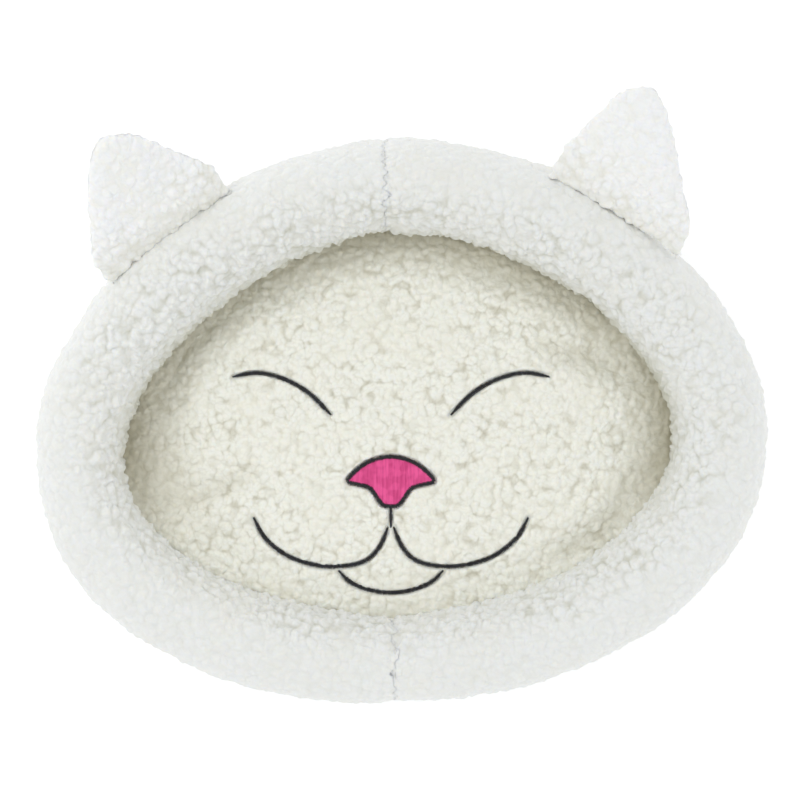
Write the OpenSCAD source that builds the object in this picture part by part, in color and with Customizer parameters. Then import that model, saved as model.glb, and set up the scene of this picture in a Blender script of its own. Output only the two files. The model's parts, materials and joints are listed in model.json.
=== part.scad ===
// Cushion bed for a small pet, shaped as a cat's head: a stuffed fleece rim round a padded
// sleeping panel with a stitched sleeping face, and two soft ears that fold at their seams.
// Millimetres, +Z up. The origin is on the floor under the middle of the oval, and +Y is the
// back, where the ears are. Angles round the rim are counted from +X towards +Y.

/* [Outline] */
// Half the width of the bed
half_w = 279; // [260:1:300]
// From the widest line to the back
back_depth = 233; // [220:1:245]
// From the widest line to the front
front_depth = 197; // [185:1:210]
// Squareness of the back, where 2 is an ellipse
back_power = 1.85; // [1.8:0.05:2.2]
// Squareness of the front
front_power = 2.1; // [1.9:0.05:2.3]
// Turn of the oval against the face, in degrees
turn = 3.5; // [0:0.5:5]

/* [Rim] */
// Width of the stuffed rim
rim_w = 74; // [66:1:80]
// Height of the rim at the sides
rim_h = 88; // [80:1:100]
// Extra height at the back, which the front loses
rim_rise = 10; // [0:1:12]
// Lean of the rim's top, inwards at the back and outwards at the front
rim_lean = 5; // [0:1:6]
// Roundness of the section, where 2 is an ellipse
rim_power = 2.3; // [2:0.1:2.8]
// Thickness of the fleece with its pile
fleece_t = 5; // [4:0.5:6]

/* [Sleeping panel] */
// Height of the panel where it meets the rim
panel_z = 30; // [26:1:34]
// Rise of the panel's middle over its edge
crown = 14; // [8:1:16]
// Thickness of the underside cloth
underside_t = 1.2; // [1:0.1:2]

/* [Face] */
// Middle of the face, left of the middle of the bed
face_x = -7; // [-10:1:0]
// Width of a stitched line
line_w = 3.8; // [3:0.1:5]

/* [Ears] */
// Width of an ear at its root
ear_w = 126; // [116:1:132]
// Length of an ear from its hinge to its tip
ear_len = 95; // [88:1:104]
// Filling of an ear at its thickest
ear_fill_t = 8; // [5:0.5:10]

/* [Hidden] */

gap = 0.4;                // room between nested soft pieces
widest_y = (front_depth - back_depth)/2;
nest_inset = rim_w + gap;
step_t = 6;               // degrees between two sections of the rim
section_n = 18;           // points round a section
foot_cut = 0.9;           // where the section is cut flat, as a share of its half height
rim_foot = underside_t + gap/4;
back_t = 90;              // angle of the seam between the covers at the back
front_t = 267;            // and at the front
seam_t = 0.3;             // half the seam's width, in degrees
seam_fill = 0.8;          // share of that width that the seam's stitching fills
binding_w = 3;            // width of the tape that binds the underside's edge
foot_inset = 16;          // from the outline to the edge of the underside
panel_t = 6;              // fleece of the sleeping panel
backing_share = 0.85;     // reach of the embroidery's backing, as a share of the panel
patch_t = 0.9;            // thickness of the nose's filled stitching
line_t = 1.1;             // thickness of a stitched line
root_r = 2.4;             // radius of the rolled seam that an ear turns on
root_w = 84;              // length of that seam
ear_start = 6;            // from the hinge to the ear's lower edge
ear_sheet_t = 4;          // fleece of an ear
seam_out = 1.6;           // how far an ear's edge seam stands out
seam_half = 0.8;          // half its thickness
ear_taper = 1.15;         // how soon an ear narrows from its root, where 1 is at once
ear_blunt = 0.62;         // roundness of its tip, where 1 is pointed and 0.5 is round
ear_end = 0.985;          // share of its length at which the sheets stop
filling_share = 0.93;     // size of its filling against its sheets
ear_steps = 10;
ear_columns = 8;

// Each ear: [hinge middle, turn of its root line, tilt above the floor, tip's lean]
ear_right = [[163, 156, 84], -32.5, 26, -30];
ear_left = [[-175, 141, 82.5], 38.5, 38, 8];

white = [0.93, 0.93, 0.90];
cream = [0.90, 0.89, 0.82];
thread_black = [0.06, 0.06, 0.07];
nose_pink = [0.90, 0.36, 0.58];
wadding = [0.97, 0.97, 0.96];
cloth_grey = [0.72, 0.71, 0.68];

// Outline of the rim: two half ovals that meet at the widest line

function signed_pow(x, e) = sign(x)*pow(abs(x), e);
function turned(p, a) = [p.x*cos(a) - p.y*sin(a), p.x*sin(a) + p.y*cos(a)];
function is_back(t) = sin(t) >= 0;
function power_at(t) = is_back(t) ? back_power : front_power;
function depth_at(t) = is_back(t) ? back_depth : front_depth;
function inside(t, inset, share = 1) = let (e = 2/power_at(t)) turned([
    share*(half_w - inset)*signed_pow(cos(t), e),
    share*(depth_at(t) - inset)*signed_pow(sin(t), e) + widest_y], turn);
function outline(inset) = [for (t = [0:step_t:360 - step_t]) inside(t, inset)];

// Section of the rim, at an angle t round it

function rim_top(t) = rim_h + rim_rise*sin(t);
function rim_point(t, s, inset) = let (
        half_h = (rim_top(t) - rim_foot)/(1 + foot_cut),
        u = signed_pow(cos(s), 2/rim_power),
        v = max(signed_pow(sin(s), 2/rim_power), -foot_cut),
        across = u*(rim_w/2 - inset) - rim_lean*sin(t)*v,
        z = max(rim_top(t) - half_h + v*(half_h - inset), rim_foot + inset))
    concat(inside(t, rim_w/2 - across), z);
function rim_section(t, inset) =
    [for (j = [0:section_n - 1]) rim_point(t, j*360/section_n, inset)];

// Sleeping panel: f is 0 in its middle and 1 at the rim

function crown_z(f) = panel_z + crown*(1 - f*f);
function panel_top(p) = let (
        q = turned(p, -turn) - [0, widest_y],
        e = power_at(q.y < 0 ? 270 : 90),
        x = abs(q.x)/(half_w - nest_inset),
        y = abs(q.y)/(depth_at(q.y < 0 ? 270 : 90) - nest_inset))
    crown_z(min(1, pow(pow(x, e) + pow(y, e), 1/e)));

// Curves through a list of points

function spline_point(a, b, c, d, k) = 0.5*(2*b + (c - a)*k + (2*a - 5*b + 4*c - d)*k*k
    + (3*b - a - 3*c + d)*k*k*k);
function smooth(p, n = 5) = let (m = len(p) - 1) concat([for (i = [0:m - 1], k = [0:n - 1])
    spline_point(p[max(i - 1, 0)], p[i], p[i + 1], p[min(i + 2, m)], k/n)], [p[m]]);
function smooth_ring(p, n = 5) = let (m = len(p)) [for (i = [0:m - 1], k = [0:n - 1])
    spline_point(p[(i + m - 1)%m], p[i], p[(i + 1)%m], p[(i + 2)%m], k/n)];
function mirrored(p) = [for (q = p) [-q.x, q.y]];
function reversed(p) = [for (i = [len(p) - 1:-1:0]) p[i]];
function placed(p) = [for (q = p) q + [face_x, 0]];

// Face, from its own middle line

eye = [[46, 4], [62, 20], [81, 31], [102, 36], [121, 33]];
mouth = [[2.2, -82], [8, -96], [18, -107], [34, -112], [55, -112], [78, -105], [96, -91], [105, -75]];
half_chin = [[40, -116], [31, -125], [16, -131], [0, -133]];
half_nose = [[0, -28], [17, -32], [29, -41], [33, -47], [26, -49], [16, -52], [10, -60], [6, -65]];
nose_path = placed(smooth_ring(concat(half_nose, [[0, -66]],
    reversed(mirrored([for (i = [1:len(half_nose) - 1]) half_nose[i]])))));

// Faces of a grid of rows by columns whose points start at first. Rows run up the page and
// columns to the right, and it faces the reader unless it is turned over.
function grid_faces(first, rows, columns, wrap, over) = let (last = wrap ? columns : columns - 1)
    [for (i = [0:rows - 2], j = [0:last - 1]) let (
        a = first + i*columns + j, b = first + i*columns + (j + 1)%columns,
        c = b + columns, d = a + columns)
        each over ? [[a, b, c], [a, c, d]] : [[a, c, b], [a, d, c]]];
// Faces that join two loops of point numbers
function band_faces(p, q) = let (n = len(p)) [for (i = [0:n - 1]) let (k = (i + 1)%n)
    each [[p[i], p[k], q[k]], [p[i], q[k], q[i]]]];
// Point numbers round the border of a grid
function border(first, rows, columns) = concat(
    [for (j = [0:columns - 1]) first + j],
    [for (i = [1:rows - 1]) first + i*columns + columns - 1],
    [for (j = [columns - 2:-1:0]) first + (rows - 1)*columns + j],
    [for (i = [rows - 2:-1:1]) first + i*columns]);

// A sheet between an upper and a lower grid of points
module sheet(upper, lower) {
    rows = len(upper);
    columns = len(upper[0]);
    n = rows*columns;
    polyhedron(concat([for (r = upper) each r], [for (r = lower) each r]),
        concat(grid_faces(0, rows, columns, false, false),
            grid_faces(n, rows, columns, false, true),
            band_faces(border(0, rows, columns), border(n, rows, columns))));
}

// A hollow sleeve of the rim between two angles and two insets
module rim_sleeve(t0, t1, outer, inner) {
    steps = max(1, round((t1 - t0)/step_t));
    rings = [for (inset = [outer, inner], i = [0:steps])
        rim_section(t0 + i*(t1 - t0)/steps, inset)];
    n = (steps + 1)*section_n;
    function ring(first) = [for (j = [0:section_n - 1]) first + j];
    polyhedron([for (r = rings) each r],
        concat(grid_faces(0, steps + 1, section_n, true, true),
            grid_faces(n, steps + 1, section_n, true, false),
            band_faces(ring(n), ring(0)),
            band_faces(ring(steps*section_n), ring(n + steps*section_n))));
}

// A dome over the nest, as thick as given, or with a flat lower side at flat_z
module dome(shift, thickness, flat_z = undef, spread = 1) {
    rings = 6;
    columns = 360/step_t;
    function level(f, low) = !low ? crown_z(f) + shift
        : is_undef(flat_z) ? crown_z(f) + shift - thickness : flat_z;
    function layer(low) = concat([concat(inside(0, 0, 0), level(0, low))], [for (i = [1:rings],
        t = [0:step_t:360 - step_t])
            concat(inside(t, nest_inset, i/rings*spread), level(i/rings*spread, low))]);
    function fan(first) = [for (j = [0:columns - 1]) [first, first + 1 + (j + 1)%columns, first + 1 + j]];
    function rim(first) = [for (j = [0:columns - 1]) first + 1 + (rings - 1)*columns + j];
    n = 1 + rings*columns;
    polyhedron(concat(layer(false), layer(true)), concat(
        fan(0), [for (q = fan(n)) [q[0], q[2], q[1]]],
        grid_faces(1, rings, columns, true, true),
        grid_faces(n + 1, rings, columns, true, false),
        band_faces(rim(0), rim(n))));
}

// A flat line of thread along a path on the panel
module stitched_line(path) {
    m = len(path) - 1;
    side = [for (i = [0:m]) let (d = path[min(i + 1, m)] - path[max(i - 1, 0)])
        [-d.y, d.x]*line_w/2/norm(d)];
    function row(i, z) = [for (k = [1, -1])
        concat(path[i] + k*side[i], panel_top(path[i]) + z)];
    color(thread_black) sheet([for (i = [0:m]) row(i, gap + line_t)],
        [for (i = [0:m]) row(i, gap)]);
}

module underside_panel() {
    color(cloth_grey) linear_extrude(underside_t) polygon(outline(foot_inset));
}

module base_binding() {
    color(cloth_grey) linear_extrude(underside_t) difference() {
        polygon(outline(foot_inset - binding_w));
        polygon(outline(foot_inset - gap/4));
    }
}

module base_pad() {
    color(wadding) dome(-panel_t - 2*gap, 0, underside_t + gap/4);
}

module embroidery_backing() {
    color(cloth_grey) dome(-panel_t - gap, gap/2, undef, backing_share);
}

module face_panel() {
    color(cream) dome(0, panel_t);
}

module panel_seam() {
    color(cream) translate([0, 0, panel_z + gap]) linear_extrude(seam_out) difference() {
        polygon(outline(nest_inset + gap));
        polygon(outline(nest_inset + gap + seam_out));
    }
}

module rim_cover_right() {
    color(white) rim_sleeve(front_t - 360 + seam_t, back_t - seam_t, 0, fleece_t);
}

module rim_cover_left() {
    color(white) rim_sleeve(back_t + seam_t, front_t - seam_t, 0, fleece_t);
}

module rim_filling() {
    columns = section_n;
    rows = 360/step_t;
    inset = fleece_t + gap;
    last = [for (j = [0:columns - 1]) (rows - 1)*columns + j];
    color(wadding) polyhedron(
        [for (i = [0:rows - 1]) each rim_section(i*step_t, inset)],
        concat(grid_faces(0, rows, columns, true, true),
            band_faces(last, [for (j = [0:columns - 1]) j])));
}

module rim_seam(t) {
    color(cream) rim_sleeve(t - seam_t*seam_fill, t + seam_t*seam_fill, 1, fleece_t);
}

module back_seam() { rim_seam(back_t); }
module front_seam() { rim_seam(front_t); }

module eye_stitching_right() { stitched_line(placed(smooth(eye))); }
module eye_stitching_left() { stitched_line(placed(smooth(mirrored(eye)))); }
module mouth_stitching_right() { stitched_line(placed(smooth(mouth))); }
module mouth_stitching_left() { stitched_line(placed(smooth(mirrored(mouth)))); }
module philtrum_stitching() { stitched_line(placed([[0, -70], [0, -79]])); }
module chin_stitching() {
    half = [for (i = [0:len(half_chin) - 2]) half_chin[i]];
    stitched_line(placed(smooth(concat(half_chin, reversed(mirrored(half))))));
}

module nose_patch() {
    color(nose_pink) translate([0, 0, panel_top([face_x, -28]) + gap])
        linear_extrude(patch_t) polygon(nose_path);
}

module nose_outline() {
    color(thread_black) translate([0, 0, panel_top([face_x, -28]) + 2*gap + patch_t])
        linear_extrude(line_t) difference() {
            offset(r = line_w/2, $fn = 24) polygon(nose_path);
            offset(delta = -line_w/2) polygon(nose_path);
        }
}

// Ears, each in its own plane: X along the root, Y to the tip, +Z the front

function ear_half(v) = ear_w/2*pow(1 - pow(v, ear_taper), ear_blunt);
function ear_puff(c, v) = ear_fill_t/2*sqrt(max(0, 1 - c*c))*pow(sin(180*v), 0.6);
function ear_xy(c, v, lean) = [lean*v + c*ear_half(v), ear_start + v*(ear_len - ear_start)];
function ear_grid(lean, side, base, shrink = 1) = [for (i = [0:ear_steps])
    [for (j = [0:ear_columns]) let (c = -1 + 2*j/ear_columns, v = ear_end*i/ear_steps)
        concat(ear_xy(c*shrink, (v - 0.5)*shrink + 0.5, lean), side*(ear_puff(c, v) + base))]];

module at_ear(ear) {
    translate(ear[0]) rotate([0, 0, ear[1]]) rotate([ear[2], 0, 0]) children();
}

module ear_fleece(ear, side) {
    near = ear_grid(ear[3], side, gap/2);
    far = ear_grid(ear[3], side, gap/2 + ear_sheet_t);
    color(side > 0 ? cream : white) at_ear(ear) if (side > 0) sheet(far, near); else sheet(near, far);
}

module ear_filling(ear) {
    color(wadding) at_ear(ear)
        sheet(ear_grid(ear[3], 1, -gap/4, filling_share), ear_grid(ear[3], -1, -gap/4, filling_share));
}

module ear_seam(ear) {
    path = [for (side = [-1, 1], i = [0:ear_steps])
        ear_xy(side, ear_end*(side < 0 ? i : ear_steps - i)/ear_steps, ear[3])];
    color(white) at_ear(ear) linear_extrude(2*seam_half, center = true) difference() {
        offset(r = seam_out, $fn = 24) polygon(path);
        offset(r = gap, $fn = 24) polygon(path);
        translate([-ear_w, -ear_w]) square([2*ear_w, ear_w + ear_start]);
    }
}

module ear_root(ear) {
    color(white) at_ear(ear) rotate([0, 90, 0])
        cylinder(h = root_w, r = root_r, center = true, $fn = 32);
}

module ear_root_right() { ear_root(ear_right); }
module ear_front_right() { ear_fleece(ear_right, 1); }
module ear_back_right() { ear_fleece(ear_right, -1); }
module ear_filling_right() { ear_filling(ear_right); }
module ear_seam_right() { ear_seam(ear_right); }
module ear_root_left() { ear_root(ear_left); }
module ear_front_left() { ear_fleece(ear_left, 1); }
module ear_back_left() { ear_fleece(ear_left, -1); }
module ear_filling_left() { ear_filling(ear_left); }
module ear_seam_left() { ear_seam(ear_left); }

underside_panel();
base_binding();
base_pad();
embroidery_backing();
face_panel();
panel_seam();
rim_cover_right();
rim_cover_left();
rim_filling();
back_seam();
front_seam();
eye_stitching_right();
eye_stitching_left();
nose_patch();
nose_outline();
philtrum_stitching();
mouth_stitching_right();
mouth_stitching_left();
chin_stitching();
ear_root_right();
ear_front_right();
ear_back_right();
ear_filling_right();
ear_seam_right();
ear_root_left();
ear_front_left();
ear_back_left();
ear_filling_left();
ear_seam_left();
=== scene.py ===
import json
import math
import bmesh
import bpy
import numpy as np
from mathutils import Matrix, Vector, geometry, noise
from mathutils.bvhtree import BVHTree


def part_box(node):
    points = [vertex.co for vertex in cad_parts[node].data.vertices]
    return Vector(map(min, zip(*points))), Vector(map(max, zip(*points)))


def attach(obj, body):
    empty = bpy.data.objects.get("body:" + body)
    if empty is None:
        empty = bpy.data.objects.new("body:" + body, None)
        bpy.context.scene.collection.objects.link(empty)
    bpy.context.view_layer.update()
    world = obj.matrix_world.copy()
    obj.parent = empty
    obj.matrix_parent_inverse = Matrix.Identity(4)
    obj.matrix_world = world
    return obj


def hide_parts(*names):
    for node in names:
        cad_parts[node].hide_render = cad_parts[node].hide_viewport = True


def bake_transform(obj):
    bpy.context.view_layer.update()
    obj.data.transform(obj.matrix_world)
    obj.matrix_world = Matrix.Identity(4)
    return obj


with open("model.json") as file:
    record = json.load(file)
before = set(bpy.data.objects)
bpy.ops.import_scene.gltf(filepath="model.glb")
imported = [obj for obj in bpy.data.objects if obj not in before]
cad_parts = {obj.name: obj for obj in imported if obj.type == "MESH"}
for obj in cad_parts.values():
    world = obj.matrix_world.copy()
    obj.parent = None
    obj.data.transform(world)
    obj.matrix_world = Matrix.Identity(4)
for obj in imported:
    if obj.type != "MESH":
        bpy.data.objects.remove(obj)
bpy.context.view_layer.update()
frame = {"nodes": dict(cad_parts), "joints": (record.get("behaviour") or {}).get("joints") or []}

mm = 0.001
bodyName = "cushion"


class Wire:
    # a node's socket that can stand in arithmetic
    def __init__(self, maker, socket):
        self.maker = maker
        self.socket = socket

    def __add__(self, other):
        return self.maker.math("ADD", self, other)

    def __radd__(self, other):
        return self.maker.math("ADD", other, self)

    def __sub__(self, other):
        return self.maker.math("SUBTRACT", self, other)

    def __rsub__(self, other):
        return self.maker.math("SUBTRACT", other, self)

    def __mul__(self, other):
        return self.maker.math("MULTIPLY", self, other)

    def __rmul__(self, other):
        return self.maker.math("MULTIPLY", other, self)

    def __rtruediv__(self, other):
        return self.maker.math("DIVIDE", other, self)

    def output(self, name):
        return Wire(self.maker, self.socket.node.outputs[name])


class NodeMaker:
    # adds nodes to a tree; an input is a Wire to link or a plain value
    def __init__(self, tree):
        self.tree = tree

    def node(self, kind, settings=None, inputs=None, output=0):
        made = self.tree.nodes.new(kind)
        for name, value in (settings or {}).items():
            setattr(made, name, value)
        for name, value in (inputs or {}).items():
            if isinstance(value, Wire):
                self.tree.links.new(value.socket, made.inputs[name])
            else:
                made.inputs[name].default_value = value
        return Wire(self, made.outputs[output]) if made.outputs else None

    def math(self, operation, *values):
        return self.node("ShaderNodeMath", {"operation": operation}, dict(enumerate(values)))

    def objectPlace(self):
        return self.node("ShaderNodeTexCoord", output="Object")

    def parts(self, vector):
        return self.node("ShaderNodeSeparateXYZ", None, {"Vector": vector})

    def combined(self, *values):
        return self.node("ShaderNodeCombineXYZ", None, dict(enumerate(values)))

    def stored(self, name, kind="FLOAT"):
        return self.node("GeometryNodeInputNamedAttribute", {"data_type": kind}, {"Name": name})

    def bump(self, strength, distance, height):
        return self.node("ShaderNodeBump", None,
                         {"Strength": strength, "Distance": distance, "Height": height})

    def vector(self, operation, *values):
        return self.node("ShaderNodeVectorMath", {"operation": operation}, dict(enumerate(values)))

    def scaled(self, vector, by):
        return self.node("ShaderNodeVectorMath", {"operation": "SCALE"}, {0: vector, "Scale": by})

    def noise(self, place, scale, detail=2.0, output=0, **more):
        return self.node("ShaderNodeTexNoise", None,
                         {"Vector": place, "Scale": scale, "Detail": detail, **more}, output)

    def cells(self, feature, place, scale, **more):
        return self.node("ShaderNodeTexVoronoi", {"feature": feature},
                         {"Vector": place, "Scale": scale, **more})

    def mixColour(self, factor, first, second):
        return self.node("ShaderNodeMix", {"data_type": "RGBA"}, {0: factor, 6: first, 7: second}, 2)

    def smooth(self, value, low, high, toLow=0.0, toHigh=1.0):
        return self.node("ShaderNodeMapRange", {"interpolation_type": "SMOOTHSTEP"},
                         {"Value": value, "From Min": low, "From Max": high,
                          "To Min": toLow, "To Max": toHigh})


def geometryTree(name, sockets):
    # a tree with a geometry in and out, and named inputs; sockets is {name: (kind, default)}
    tree = bpy.data.node_groups.new(name, "GeometryNodeTree")
    tree.interface.new_socket("Geometry", in_out="INPUT", socket_type="NodeSocketGeometry")
    tree.interface.new_socket("Geometry", in_out="OUTPUT", socket_type="NodeSocketGeometry")
    for socketName, (kind, default) in sockets.items():
        made = tree.interface.new_socket(socketName, in_out="INPUT", socket_type="NodeSocket" + kind)
        if default is not None:
            made.default_value = default
    maker = NodeMaker(tree)
    entry = tree.nodes.new("NodeGroupInput")
    wires = {s.name: Wire(maker, s) for s in entry.outputs if s.name}
    return tree, maker, wires


def closeTree(maker, geometryWire, material):
    # every tree ends in Realize Instances and Set Material, because instances aren't kept
    soft = maker.node("GeometryNodeSetShadeSmooth", None, {"Geometry": geometryWire})
    real = maker.node("GeometryNodeRealizeInstances", None, {"Geometry": soft})
    painted = maker.node("GeometryNodeSetMaterial", None, {"Geometry": real, "Material": material})
    leave = maker.tree.nodes.new("NodeGroupOutput")
    maker.tree.links.new(painted.socket, leave.inputs[0])


def keepResult(piece):
    # turns a piece with modifiers into its plain mesh
    graph = bpy.context.evaluated_depsgraph_get()
    graph.update()
    made = bpy.data.meshes.new_from_object(piece.evaluated_get(graph), depsgraph=graph)
    piece.modifiers.clear()
    piece.data = made
    return piece


def applyTree(piece, tree, values):
    modifier = piece.modifiers.new(tree.name, "NODES")
    modifier.node_group = tree
    for name, value in values.items():
        modifier[tree.interface.items_tree[name].identifier] = value
    return keepResult(piece)


# meshes
def newPiece(name, data):
    piece = bpy.data.objects.new(name, data)
    bpy.context.scene.collection.objects.link(piece)
    return piece


def drop(*objects):
    for old in objects:
        bpy.data.objects.remove(old)


def pieceOf(name, work):
    mesh = bpy.data.meshes.new(name)
    work.to_mesh(mesh)
    work.free()
    return newPiece(name, mesh)


def copyOfNodes(name, *nodes):
    # one merged mesh of the named CAD nodes, as a new object
    work = bmesh.new()
    for node in nodes:
        work.from_mesh(frame["nodes"][node].data)
    bmesh.ops.remove_doubles(work, verts=work.verts, dist=0.02*mm)
    piece = pieceOf(name, work)
    piece.data.materials.clear()
    return piece


def copyOf(piece, name):
    return newPiece(name, piece.data.copy())


def coordinates(piece):
    flat = np.empty(len(piece.data.vertices)*3)
    piece.data.vertices.foreach_get("co", flat)
    return flat.reshape(-1, 3)


def setCoordinates(piece, points):
    piece.data.vertices.foreach_set("co", points.ravel())
    piece.data.update()


def vertexNormals(piece):
    flat = np.empty(len(piece.data.vertices)*3)
    piece.data.vertex_normals.foreach_get("vector", flat)
    return flat.reshape(-1, 3)


def setAttribute(piece, name, values):
    layer = piece.data.attributes.get(name) or piece.data.attributes.new(name, "FLOAT", "POINT")
    layer.data.foreach_set("value", values.astype(np.float32))


def modified(piece, kind, **settings):
    modifier = piece.modifiers.new(kind.lower(), kind)
    for name, value in settings.items():
        setattr(modifier, name, value)
    return keepResult(piece)


def voxelRemesh(piece, size):
    return modified(piece, "REMESH", mode="VOXEL", voxel_size=size)


def relax(piece, turns):
    return modified(piece, "SMOOTH", iterations=turns, factor=0.5)


def subdivide(piece, levels):
    return modified(piece, "SUBSURF", levels=levels, render_levels=levels)


def push(piece, distance):
    setCoordinates(piece, coordinates(piece) + vertexNormals(piece)*distance)
    return piece


stuffing = {
    "frames": 20,
    "cloth": {"quality": 5, "mass": 0.3, "tension_stiffness": 15.0, "compression_stiffness": 15.0,
              "bending_stiffness": 0.6, "use_pressure": True},
}


def stuff(piece, voxel, cap, outward, pressure=4.0):
    # fills a sewn shape: remesh it, swell it as cloth under pressure, and cap how far it moves.
    # The swelling's own average is taken off and its spans are set back, so that its size is kept, and
    # outward is added to it
    voxelRemesh(piece, voxel)
    relax(piece, 5)
    start = coordinates(piece)
    normals = vertexNormals(piece)
    moved = np.zeros_like(start)
    cloth = piece.modifiers.new("cloth", "CLOTH")
    for name, value in stuffing["cloth"].items():
        setattr(cloth.settings, name, value)
    cloth.settings.uniform_pressure_force = pressure
    cloth.settings.effector_weights.gravity = 0.0
    cloth.point_cache.frame_start = 1
    cloth.point_cache.frame_end = stuffing["frames"]
    for number in range(1, stuffing["frames"] + 1):
        bpy.context.scene.frame_set(number)
    keepResult(piece)
    bpy.context.scene.frame_set(1)
    moved = coordinates(piece) - start
    moved -= normals*(moved*normals).sum(axis=1).mean()
    length = np.linalg.norm(moved, axis=1, keepdims=True)
    moved *= np.minimum(1.0, cap/np.maximum(length, 1e-9))
    swollen = start + moved
    grown = np.ptp(start, axis=0)/np.ptp(swollen, axis=0)
    moved = start.min(axis=0) + (swollen - swollen.min(axis=0))*grown - start
    setCoordinates(piece, start + moved + normals*outward)
    return piece


def smoothStep(value, low, high):
    share = np.clip((value - low)/(high - low), 0.0, 1.0)
    return share*share*(3.0 - 2.0*share)


def bell(value, width):
    return np.exp(-(value/width)**2)


def unit(vectors):
    return vectors/np.maximum(np.linalg.norm(vectors, axis=1, keepdims=True), 1e-9)


def softNoise(points, size, seed):
    # gentle noise from -1 to 1 with features of the given size
    shift = Vector((seed*7.3, seed*3.1, seed*5.7))
    return np.array([noise.noise(Vector(p)/size + shift) for p in points])


def distanceToPath(points, path):
    # distance in the plane from each point to a path, and how far along it, from 0 to 1
    path = np.asarray(path, float)
    steps = np.linalg.norm(np.diff(path, axis=0), axis=1)
    along = np.concatenate([[0.0], np.cumsum(steps)])
    best = np.full(len(points), 1e9)
    place = np.zeros(len(points))
    for i in range(len(path) - 1):
        a, d = path[i], path[i + 1] - path[i]
        share = np.clip(((points[:, :2] - a) @ d)/(d @ d), 0.0, 1.0)
        distance = np.linalg.norm(points[:, :2] - a - share[:, None]*d, axis=1)
        nearer = distance < best
        best[nearer] = distance[nearer]
        place[nearer] = (along[i] + share*steps[i])[nearer]/along[-1]
    return best, place


def spaced(path, step, closed=False):
    # the same path with points at even distances
    path = np.vstack([path, path[:1]]) if closed else np.asarray(path)
    steps = np.linalg.norm(np.diff(path, axis=0), axis=1)
    along = np.concatenate([[0.0], np.cumsum(steps)])
    wanted = np.linspace(0.0, along[-1], max(3, int(along[-1]/step)), endpoint=not closed)
    return np.column_stack([np.interp(wanted, along, path[:, i]) for i in range(path.shape[1])])


def insideOutline(points, outline):
    within = np.zeros(len(points), bool)
    x, y = points[:, 0], points[:, 1]
    for (ax, ay), (bx, by) in zip(outline, np.roll(outline, -1, axis=0)):
        crosses = (ay > y) != (by > y)
        with np.errstate(divide="ignore", invalid="ignore"):
            within ^= crosses & (x < (bx - ax)*(y - ay)/(by - ay) + ax)
    return within


def outlineOf(node):
    # the outer edge of a flat round node, seen from above
    flat = [v.co.xy for v in frame["nodes"][node].data.vertices]
    return np.array([flat[i] for i in geometry.convex_hull_2d(flat)])


def hollowOut(outer, inner):
    # one closed wall of two skins; the inner one is turned to face the hollow
    work = bmesh.new()
    work.from_mesh(inner.data)
    bmesh.ops.reverse_faces(work, faces=work.faces)
    work.from_mesh(outer.data)
    work.to_mesh(outer.data)
    work.free()
    drop(inner)


def bend(piece, point, normal, wander):
    # shifts points along a plane's normal, as much for all those in line with it, so that it can be undone
    points = coordinates(piece)
    normal = np.array(normal)
    inPlane = points - ((points - np.array(point)) @ normal)[:, None]*normal
    setCoordinates(piece, points + softNoise(inPlane, 5*mm, 4.0)[:, None]*normal*wander)


def splitByPlane(piece, name, point, normal):
    # keeps the side of a plane that the normal points to, and closes the cut
    work = bmesh.new()
    work.from_mesh(piece.data)
    bmesh.ops.bisect_plane(work, geom=work.verts[:] + work.edges[:] + work.faces[:],
                           plane_co=point, plane_no=normal, clear_inner=True)
    openEdges = [e for e in work.edges if e.is_boundary]
    filled = bmesh.ops.triangle_fill(work, use_beauty=True, edges=openEdges, normal=-normal)
    for face in (g for g in filled["geom"] if isinstance(g, bmesh.types.BMFace)):
        face.smooth = False
    side = pieceOf(name, work)
    for material in piece.data.materials:
        side.data.materials.append(material)
    return side


def sheetOf(name, outline, rings, height, thickness):
    # a round sheet of cloth whose upper side is at height(x, y)
    middle = outline.mean(axis=0)
    count = len(outline)
    flat = np.vstack([middle] + [middle + (outline - middle)*i/rings for i in range(1, rings + 1)])
    upper = np.column_stack([flat, height(flat)])
    lower = upper - [0.0, 0.0, thickness]
    n = len(flat)
    faces = []
    for j in range(count):
        k = (j + 1) % count
        faces += [(0, 1 + j, 1 + k), (n, n + 1 + k, n + 1 + j)]
        for i in range(rings - 1):
            a, b = 1 + i*count + j, 1 + i*count + k
            faces += [(a, a + count, b + count, b), (n + a, n + b, n + b + count, n + a + count)]
        a, b = 1 + (rings - 1)*count + j, 1 + (rings - 1)*count + k
        faces.append((a, n + a, n + b, b))
    mesh = bpy.data.meshes.new(name)
    mesh.from_pydata(np.vstack([upper, lower]).tolist(), [], faces)
    mesh.validate()
    mesh.shade_smooth()
    return newPiece(name, mesh)


def areaOf(outline):
    x, y = outline[:, 0], outline[:, 1]
    return abs(np.sum(x*np.roll(y, -1) - y*np.roll(x, -1)))/2


def camelName(node):
    first, *rest = node.split("_")
    return first + "".join(word.capitalize() for word in rest)


def standIn(piece, node, body=bodyName):
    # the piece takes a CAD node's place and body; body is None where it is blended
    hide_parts(node)
    if body:
        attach(piece, body)


# materials
def newMaterial(name):
    material = bpy.data.materials.new(name)
    material.use_nodes = True
    material.node_tree.nodes.clear()
    return material, NodeMaker(material.node_tree)


def finishMaterial(maker, colour, roughness, normal, uniform):
    shader = maker.node("ShaderNodeBsdfPrincipled", None,
                        {"Base Color": colour, "Roughness": roughness, "Normal": normal, **uniform})
    leave = maker.tree.nodes.new("ShaderNodeOutputMaterial")
    maker.tree.links.new(shader.socket, leave.inputs["Surface"])


def attribute(maker, name, output="Fac"):
    return maker.node("ShaderNodeAttribute", {"attribute_name": name}, None, output)


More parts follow.
